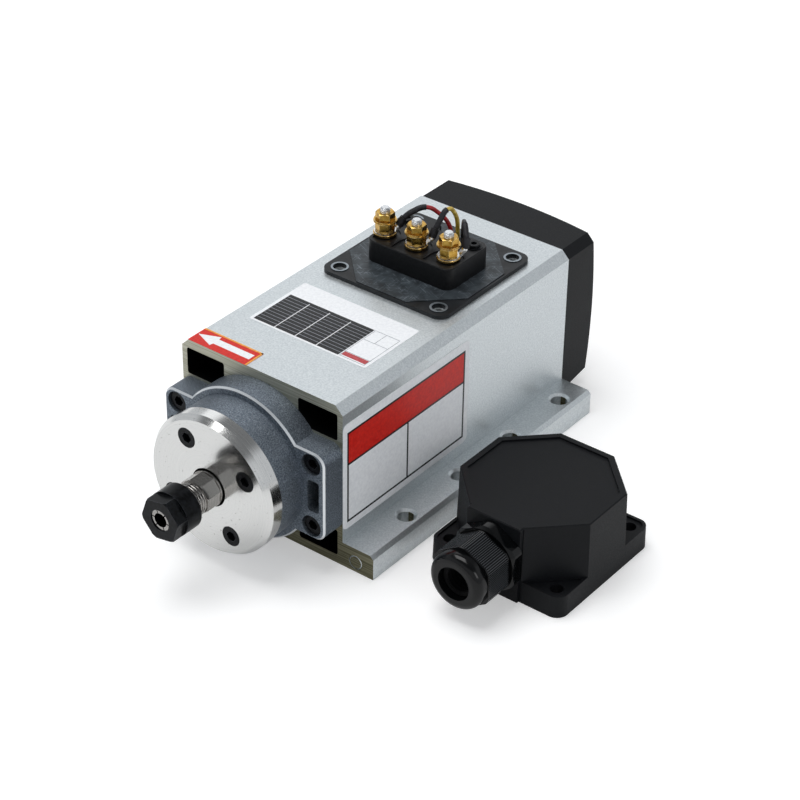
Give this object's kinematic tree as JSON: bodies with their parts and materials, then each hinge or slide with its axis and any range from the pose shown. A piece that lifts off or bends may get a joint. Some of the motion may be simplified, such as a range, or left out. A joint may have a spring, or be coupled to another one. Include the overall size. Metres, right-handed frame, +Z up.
{
  "type": "motor spindle",
  "caption": "Air-cooled motor spindle with a collet nose on a flanged housing, open terminal block on top and its loose cover with cable gland beside it.",
  "frame": {"origin": "centre of the eight base holes, on the base face", "axes": "+X to the right seen from the nose, +Y from the nose towards the fan, +Z up from the base face"},
  "size_m": [0.18, 0.2314, 0.0988],
  "materials": {
    "satin_aluminium": "satin, anodised extrusion with sawn ends",
    "cast_aluminium": "grainy die casting",
    "polished_aluminium": "turned and polished",
    "ground_steel": "ground",
    "bearing_steel": "ground and polished",
    "black_oxide_steel": "black oxide",
    "lamination_steel": "stacked laminations",
    "enamelled_copper": "lacquered copper winding",
    "cage_aluminium": "cast",
    "spring_steel": "blued",
    "black_plastic": "fine grained, matt",
    "plate_black": "black, scuffed",
    "terminal_resin": "moulded phenolic",
    "brass": "machined",
    "zinc_steel": "bright zinc plated",
    "tinned_copper": "tin plated",
    "red_insulation": "flexible insulation",
    "yellow_insulation": "flexible insulation",
    "grey_insulation": "flexible insulation",
    "shrink_sleeve": "heat-shrink",
    "seal_rubber": "matt",
    "gland_plastic": "moulded, glossy dome"
  },
  "bodies": {
    "frame": {"housing": "satin_aluminium", "port_plugs": "satin_aluminium", "front_cap": "cast_aluminium", "cap_screws": "black_oxide_steel", "front_flange": "polished_aluminium", "flange_screws": "black_oxide_steel", "front_outer_rings": "bearing_steel", "front_balls": "bearing_steel", "outer_spacer": "ground_steel", "rear_outer_ring": "bearing_steel", "rear_balls": "bearing_steel", "stator_core": "lamination_steel", "stator_winding": "enamelled_copper", "rear_bracket": "cast_aluminium", "preload_spring": "spring_steel", "fan_cover": "black_plastic", "fan_cover_screws": "black_oxide_steel", "terminal_plate": "plate_black", "terminal_block": "terminal_resin", "block_screws": "black_oxide_steel", "terminal_studs": "zinc_steel", "base_washers": "brass", "ring_lugs": "tinned_copper", "lower_nuts": "brass", "clamp_washers": "brass", "top_washers": "brass", "upper_nuts": "brass", "lead_red": "red_insulation", "lead_yellow": "yellow_insulation", "lead_third": "grey_insulation", "lead_sleeves": "shrink_sleeve"},
    "rotor": {"shaft": "ground_steel", "front_inner_rings": "bearing_steel", "inner_spacer": "ground_steel", "rear_inner_ring": "bearing_steel", "rotor_core": "lamination_steel", "rotor_cage": "cage_aluminium", "fan": "black_plastic", "fan_circlip": "spring_steel"},
    "collet": {"collet": "ground_steel"},
    "collet_nut": {"collet_nut": "black_oxide_steel"},
    "loose_cover": {"terminal_cover": "black_plastic", "cover_gasket": "seal_rubber", "gland_body": "gland_plastic", "gland_locknut": "gland_plastic"},
    "gland_seal": {"gland_seal": "seal_rubber"},
    "gland_nut": {"gland_nut": "gland_plastic"}
  },
  "joints": [
    {"name": "spindle_spin", "type": "hinge", "parent": "frame", "child": "rotor", "pos_m": [0, 0, 0.0365], "axis": [0, 1, 0], "continuous": true},
    {"name": "collet_draw", "type": "slide", "parent": "rotor", "child": "collet", "axis": [0, -1, 0], "range_m": [0, 0.006]},
    {"name": "nut_turn", "type": "hinge", "parent": "collet", "child": "collet_nut", "pos_m": [0, 0, 0.0365], "axis": [0, -1, 0], "range_deg": [0, 1728]},
    {"name": "cover_lift", "type": "slide", "parent": "frame", "child": "loose_cover", "axis": [0, 0, 1], "range_m": [0, 0.12]},
    {"name": "gland_draw", "type": "slide", "parent": "loose_cover", "child": "gland_seal", "axis": [0, -1, 0], "range_m": [0, 0.006]},
    {"name": "gland_turn", "type": "hinge", "parent": "gland_seal", "child": "gland_nut", "pos_m": [0.0938, 0, 0.0181], "axis": [0, -1, 0], "range_deg": [0, 1440]}
  ],
  "couplings": [
    {"joint": "collet_draw", "follows": "nut_turn", "m_per_rad": 0.00019894},
    {"joint": "gland_draw", "follows": "gland_turn", "m_per_rad": 0.00023873}
  ]
}
